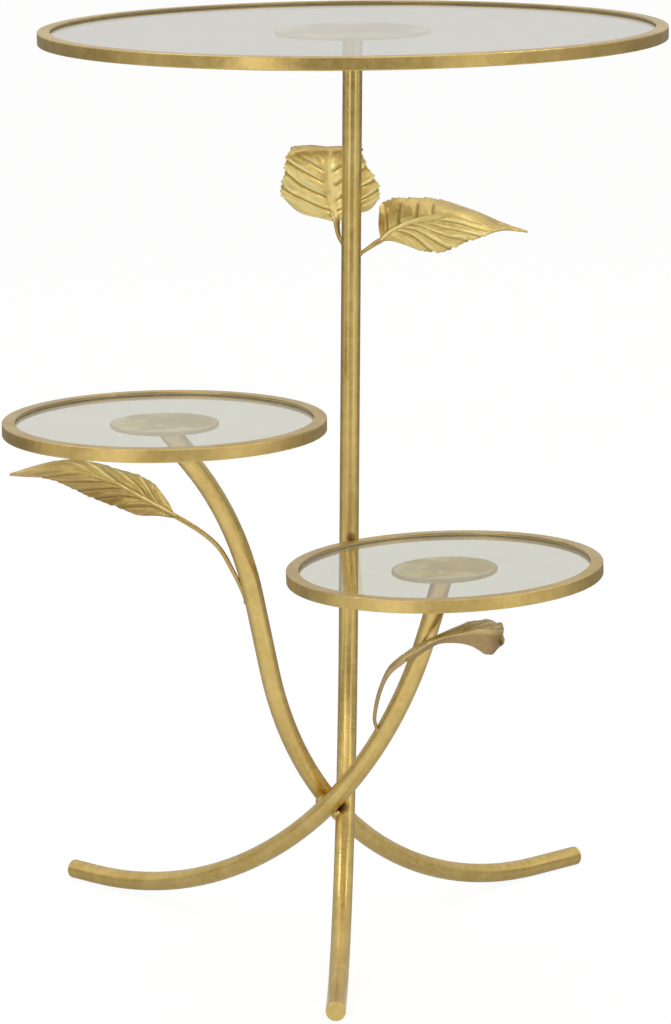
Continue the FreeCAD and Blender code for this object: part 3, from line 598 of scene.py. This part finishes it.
class Sheet:
    """The plain sheet of a leaf. Across runs from -1 on the upper edge to 1 on the lower one."""

    def __init__(self, name):
        self.upper, self.rib, self.lower = (
            [Vector(point) * MM for point in row] for row in zip(*BLADES[name]))
        self.last = len(self.rib) - 1
        near_middle = self.last * 0.45
        over = self.spot(near_middle, 0.5) - self.spot(near_middle, -0.5)
        ahead = self.spot(near_middle + 0.2, 0.0) - self.spot(near_middle - 0.2, 0.0)
        self.sense = 1.0 if ahead.cross(over).dot(FACING[name]) > 0 else -1.0

    def spot(self, station, across):
        edge = along(self.upper if across < 0 else self.lower, station)
        return along(self.rib, station).lerp(edge, abs(across))

    def normal_and_width(self, station, across):
        before = max(station - LOOK_AROUND, 0.0)
        after = min(station + LOOK_AROUND, float(self.last))
        lengthways = self.spot(after, across) - self.spot(before, across)
        inside = min(station + LOOK_AHEAD, self.last)
        crossways = along(self.lower, inside) - along(self.upper, inside)
        return (lengthways.cross(crossways) * self.sense).normalized(), crossways.length


def relief(name, last, station, across, from_rib):
    """Height of the relief in millimetres, its painted light from -1 (shade in a groove) to 1 (highlight
    on a crest), and the edge's swelling.
    """
    wide = abs(across)
    starts, ends, bend, crest_high, groove_deep, pillow_high, dies, narrows = \
        VEINS[name][0 if across < 0 else 1]
    rib_width, rib_height, rib_end = MIDRIB[name]
    phase = vein_phase(starts, ends, bend, station, wide)
    crest, groove, pillow = pressed(phase)
    crest *= 1 + patches(station, across, CREST_UNEVENNESS, last)
    dents = patches(station, across, WIDE_DENTS, last + 5.0) \
        + patches(station, across, SMALL_DENTS, last + 9.0)
    sets_in = smooth(station, *BASE)
    strength = sets_in * (1 - smooth(station, *dies)) * smooth(wide, *RELIEF_IN) \
        * (1 - smooth(wide, *narrows))
    # The midrib thins out along the leaf, with a ditch on each side of it.
    thin = 1 - smooth(station, rib_end * RIB_THINS_FROM, rib_end)
    rib_reach = rib_width * (RIB_NARROWS_TO + (1 - RIB_NARROWS_TO) * thin)
    midrib = hump(from_rib, rib_reach) * thin
    ditch = hump(from_rib - rib_width * DITCH_AT, rib_width * DITCH_REACH) * thin
    veined = (CREST_RISE * crest_high * crest - GROOVE_DROP * groove_deep * groove
              + PILLOW_RISE * pillow_high * pillow) * strength
    dented = DENT_RISE * dents * sets_in * (1 - smooth(station, last - DENTS_END, last)) \
        * (1 - smooth(wide, *DENTS_OUT))
    curl = math.sin(math.pi * wide) * sets_in
    height = veined + dented + midrib * rib_height - ditch * DITCH_DROP + curl * CURL_RISE
    # Painted light: bright on crests and the midrib, shade in grooves and ditches, darker at the edge.
    wear_and_painted_light = (crest_high * crest - groove_deep * groove * GROOVE_PAINTED_SHADE) * strength \
        + (midrib * RIB_PAINTED_HIGHLIGHT - ditch * DITCH_PAINTED_SHADE) * min(1.0, rib_height / FULL_RIB) \
        - EDGE_DARKENING * smooth(wide, *DARK_EDGE)
    swell = tooth(phase, station, last) * smooth(wide, *TEETH_IN)
    return height, max(-1.0, min(1.0, wear_and_painted_light)), swell


def painted_shade_share(name, station, across):
    """How much painted shade browns the finish, from 0 to 1."""
    sets_in, at_tip, above, below = PAINTED_SHADE_PARTS[name]
    half_tone = (above if across < 0 else below) * smooth(abs(across), *BROWN_IN)
    return max(at_tip * smooth(station, *sets_in), half_tone)


def leaf_blade(name):
    """A thin pressed leaf: its relief, its painted highlight and shade, and its painted browning are set
    vertex by vertex on a grid.
    """
    plain = Sheet(name)
    grid = bmesh.new()
    bmesh.ops.create_grid(grid, x_segments=STEPS_LONG, y_segments=STEPS_WIDE, size=1.0)
    for layer in ("vein", "dusk"):
        grid.verts.layers.float.new(layer)
    shade, brown = (grid.verts.layers.float[layer] for layer in ("vein", "dusk"))
    for vert in grid.verts:
        station, across = (vert.co.x + 1) / 2 * plain.last, vert.co.y
        normal, width = plain.normal_and_width(station, across)
        from_rib = abs(across) * width / 2 / MM
        height, wear_and_painted_light, swell = relief(name, plain.last, station, across, from_rib)
        vert.co = plain.spot(station, across * (1 + swell)) + normal * (height * MM)
        # Painted highlight and shade for the leaf's material.
        vert[shade] = wear_and_painted_light
        # Painted shade's browning for the leaf's material.
        vert[brown] = painted_shade_share(name, station, across)
    for face in grid.faces:
        face.smooth = True
    grid.normal_update()
    if sum(face.normal.dot(FACING[name]) for face in grid.faces) < 0:
        bmesh.ops.reverse_faces(grid, faces=grid.faces)
    mesh = bpy.data.meshes.new(name + "_leaf")
    grid.to_mesh(mesh)
    grid.free()
    mesh.materials.append(LEAF_GOLD[name])
    blade = linked(name + "_leaf", mesh)
    wall = blade.modifiers.new("sheet", "SOLIDIFY")
    wall.thickness = SHEET_THICKNESS
    wall.offset = 0.0
    wall.use_even_offset = False
    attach(blade, "root")
    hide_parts(name + "_leaf_blade")


for leaf in BLADES:
    leaf_blade(leaf)

# ---------------------------------------------------------------- leaf stems and weld beads
# Stem axis from its foot on the tube to under the leaf, with its half-width at each point, in
# millimetres.
STEMS = {
    "upper_left": [
        ((4.07, 22.72, 568.78), 1.5), ((-1.01, 28.83, 577.49), 1.8), ((-2.81, 29.83, 585.59), 2.3),
        ((-3.01, 30.33, 590.89), 2.7), ((-4.4, 33.0, 596.3), 2.2), ((-5.6, 35.2, 601.4), 1.0),
    ],
    "upper_right": [
        ((15.37, 16.55, 565.08), 1.3), ((22.21, 14.32, 569.96), 1.7), ((27.91, 13.32, 574.06), 2.1),
        ((33.01, 13.82, 576.86), 2.3), ((39.7, 13.9, 582.4), 1.6), ((45.0, 13.2, 585.4), 0.8),
    ],
    "lower_left": [
        ((-78.79, -77.37, 297.09), 1.5), ((-82.81, -81.47, 309.75), 1.6),
        ((-89.11, -86.47, 324.95), 1.8), ((-99.01, -91.47, 344.25), 1.9),
        ((-113.11, -94.47, 358.55), 2.0), ((-132.71, -96.47, 371.75), 2.1),
        ((-143.2, -95.6, 377.0), 1.7), ((-152.0, -95.8, 382.0), 0.9),
    ],
    "lower_right": [
        ((26.06, -72.04, 187.43), 1.4), ((23.58, -76.12, 198.24), 1.5),
        ((26.28, -83.12, 216.84), 1.7), ((31.38, -91.12, 233.84), 1.9),
        ((37.38, -97.12, 245.24), 2.9), ((44.78, -100.62, 252.44), 3.5),
        ((50.0, -102.0, 257.0), 2.8), ((58.0, -104.9, 261.0), 1.4),
    ],
}
# Half the thickness that the flattened wire keeps, in millimetres.
STEM_THICK = 1.5
RING_SIDES, RINGS_A_STEP = 20, 9
# Half-sizes of the beads in millimetres, how lumpy they are, and how coarse the lumps.
FOOT_BEAD = ((2.3, 2.1, 2.8), 0.16, 1.7)
HUB_BEAD = ((3.4, 2.6, 2.6), 0.3, 1.4)
HUB_CORNER = Vector((-8.0, -38.6, 107.8)) * MM


def leaf_stem(name):
    """A wire drawn out from its foot, flattened where it meets the leaf."""
    points = [Vector(point) * MM for point, half in STEMS[name]]
    halves = [Vector((half * MM, 0, 0)) for point, half in STEMS[name]]
    end = len(points) - 1
    rod = bmesh.new()
    around = rod.verts.layers.float.new("turn")
    ring = None
    for step in range(end * RINGS_A_STEP + 1):
        station = step / RINGS_A_STEP
        centre, half = along(points, station), along(halves, station).x
        ahead = (along(points, min(station + 0.05, end)) - along(points, max(station - 0.05, 0)))
        ahead.normalize()
        side = ahead.cross(FACING[name]).normalized()
        thick = side.cross(ahead)
        if ring is None:
            ring = bmesh.ops.create_circle(rod, cap_ends=False, segments=RING_SIDES, radius=1.0)["verts"]
            for vert in ring:
                vert[around] = math.atan2(vert.co.y, vert.co.x)
        else:
            edges = {edge for vert in ring for edge in vert.link_edges
                     if all(v in ring for v in edge.verts)}
            ring = [part for part in bmesh.ops.extrude_edge_only(rod, edges=list(edges))["geom"]
                    if isinstance(part, bmesh.types.BMVert)]
        for vert in ring:
            turn = vert[around]
            vert.co = centre + side * (half * math.cos(turn)) \
                + thick * (min(half, STEM_THICK * MM) * math.sin(turn))
    bmesh.ops.holes_fill(rod, edges=[edge for edge in rod.edges if edge.is_boundary])
    finish = RIBBON_GOLD if name == "lower_right" else STEM_GOLD
    finished(rod, name + "_stem", name + "_leaf_stem", finish)


def weld_bead(centre, lean, kind, seed):
    """A lumpy bead of weld about a centre."""
    half_sizes, lumps, grain = kind
    bead = bmesh.new()
    bmesh.ops.create_icosphere(bead, subdivisions=4, radius=1.0)
    for vert in bead.verts:
        lump = 1 + lumps * noise.noise(vert.co * grain + seed)
        stretched = Vector([c * half for c, half in zip(vert.co, half_sizes)])
        vert.co = centre + lean @ stretched * (MM * lump)
    return bead


for leaf, stem in STEMS.items():
    leaf_stem(leaf)
    foot, on = Vector(stem[0][0]) * MM, Vector(stem[1][0]) * MM
    lean = (on - foot).to_track_quat("Z", "Y").to_matrix()
    finished(weld_bead(foot, lean, FOOT_BEAD, foot * 300),
             leaf + "_foot", leaf + "_stem_weld", STEM_GOLD)
finished(weld_bead(HUB_CORNER, Matrix.Identity(3), HUB_BEAD, Vector((4.2, 1.3, 0.6))),
         "hub_bead", "hub_weld_front", STEM_GOLD)

# ---------------------------------------------------------------- floor, light and camera
FLOOR_REACH = 40.0
# Levels that the metal and the glass mirror. A ramp holds half of each level.
RAMP_GAIN = 2
# The far floor goes by (y + 6) / 8, and the floor by the table by y + 0.5. The second takes over
# between the two distances of NEAR_FLOOR, in metres from the table.
FAR_FLOOR = [(0.125, 0.05), (0.3, 0.13), (0.3375, 0.24), (0.475, 0.52), (0.575, 0.50), (0.7, 0.48),
             (0.75, 0.22), (0.8125, 0.11), (0.9375, 0.07)]
BY_THE_TABLE = [(0.0, 0.52), (0.3, 0.49), (0.45, 0.31), (0.55, 0.25), (0.72, 0.24), (1.0, 0.14)]
NEAR_FLOOR = (1.2, 0.6)
# The studio's walls behind and before the table, by height.
BEHIND = [(0.0, 0.35), (0.087, 0.35), (0.184, 0.32), (0.225, 0.27), (0.33, 0.31), (0.5, 0.38),
          (0.8, 0.32)]
BEFORE = [(0.0, 0.14), (0.2, 0.15), (0.36, 0.45), (0.48, 0.78), (0.62, 0.52), (0.78, 0.4), (1.0, 0.4)]
# What the floor and the world give to the eye, and the world to everything else.
FLOOR_SEEN, WORLD_FILL = 1.05, 0.55
# How much of the floor is plain glow to the eye and to mirrors; the rest of it takes shadows.
GLOW_TO_EYE, GLOW_TO_MIRRORS = 0.88, 0.75
# Lamp: compass turn from the front, distance, width, height, centre's height, power.
SOFT_BOXES = {
    "left_soft_box": (-30, 1.3, 0.30, 0.50, 0.66, 0.85),
    "left_low_soft_box": (-32, 1.3, 0.55, 0.42, 0.16, 0.47),
    "right_soft_box": (40, 1.3, 0.24, 0.50, 0.66, 0.60),
    "right_low_soft_box": (42, 1.3, 0.55, 0.42, 0.16, 0.41),
    "overhead_soft_box": (180, 0.8, 2.4, 2.4, 2.9, 18.0),
    "left_overhead_soft_box": (-93, 1.65, 0.5, 0.5, 2.55, 7.2),
    "right_overhead_soft_box": (93, 1.65, 0.5, 0.5, 2.55, 7.2),
}
LAMP_TARGET = Vector((0, 0, 0.42))
CAMERA_PLACE = (0.01156, -3.2461, 1.04188)
# Degrees about Z, X and the line of sight.
CAMERA_HEADING, CAMERA_PITCH, CAMERA_ROLL = 0.320, 78.035, -0.65
FOCAL_LENGTH, SENSOR_WIDTH = 141.953, 36


def eyes_and_mirrors(f):
    """Rays seen by the eye, straight or through glass, and rays mirrored by the metal and the glass."""
    camera, glossy, through = (
        f.node("ShaderNodeLightPath", output="Is %s Ray" % kind)
        for kind in ("Camera", "Glossy", "Transmission"))
    mirrored = f.node("ShaderNodeLightPath", output="Glossy Depth").at_most(1)
    return camera.at_least(through) * (1 - mirrored), glossy.at_least(through) * mirrored


sheet = bmesh.new()
bmesh.ops.create_grid(sheet, x_segments=1, y_segments=1, size=FLOOR_REACH)
floor_mesh = bpy.data.meshes.new("floor")
sheet.to_mesh(floor_mesh)
sheet.free()
floor = linked("floor", floor_mesh)
floor_paint, f = material("floor")
plain, shiny = eyes_and_mirrors(f)
here = f.coords()
depth = f.node("ShaderNodeSeparateXYZ", None, {0: here}, output=1)
away = f.node("ShaderNodeVectorMath", {"operation": "LENGTH"}, {0: here}, output="Value")
far = f.profile((depth + 6) / 8, FAR_FLOOR)
near = f.profile(depth + 0.5, BY_THE_TABLE)
level = (far + (near - far) * f.between(away, *NEAR_FLOOR)) * RAMP_GAIN
matte = f.node("ShaderNodeBsdfDiffuse", None, {"Color": rgb(0.86, 0.86, 0.85)})
glow = f.node("ShaderNodeEmission", None, {
    "Color": rgb(1, 1, 1), "Strength": plain * FLOOR_SEEN + shiny * level})
f.surface(f.node("ShaderNodeMixShader", None, {
    0: plain * GLOW_TO_EYE + shiny * GLOW_TO_MIRRORS, 1: matte, 2: glow}))
floor_mesh.materials.append(floor_paint)

world = bpy.data.worlds.new("studio")
bpy.context.scene.world = world
world.use_nodes = True
f = Finish(world.node_tree)
plain, shiny = eyes_and_mirrors(f)
direction = f.node("ShaderNodeTexCoord", output="Generated")
height = f.node("ShaderNodeSeparateXYZ", None, {0: direction}, output=2)
depth = f.node("ShaderNodeSeparateXYZ", None, {0: direction}, output=1)
behind = f.profile(height, BEHIND) * RAMP_GAIN
before = f.profile(height, BEFORE) * RAMP_GAIN
studio = behind + (before - behind) * f.between(depth, 0.15, -0.15)
f.surface(f.node("ShaderNodeBackground", None, {
    "Color": rgb(1.0, 0.99, 0.96),
    "Strength": plain + shiny * studio + (1 - plain - shiny) * WORLD_FILL}), "ShaderNodeOutputWorld")

for name, (turn, distance, width, tall, centre, power) in SOFT_BOXES.items():
    lamp = bpy.data.lights.new(name, "AREA")
    lamp.shape = "RECTANGLE"
    lamp.size = width
    lamp.size_y = tall
    lamp.energy = power
    stand = linked(name, lamp)
    turn = math.radians(turn)
    stand.location = (distance * math.sin(turn), -distance * math.cos(turn), centre)
    stand.rotation_euler = (LAMP_TARGET - stand.location).to_track_quat("-Z", "Y").to_euler()

lens = bpy.data.cameras.new("camera")
lens.lens = FOCAL_LENGTH
lens.sensor_width = SENSOR_WIDTH
lens.clip_end = 200
camera = linked("camera", lens)
turned = (Matrix.Rotation(math.radians(CAMERA_HEADING), 4, "Z")
          @ Matrix.Rotation(math.radians(CAMERA_PITCH), 4, "X")
          @ Matrix.Rotation(math.radians(CAMERA_ROLL), 4, "Z"))
camera.matrix_world = Matrix.Translation(CAMERA_PLACE) @ turned
bpy.context.scene.camera = camera
bpy.context.scene.view_settings.view_transform = "Standard"
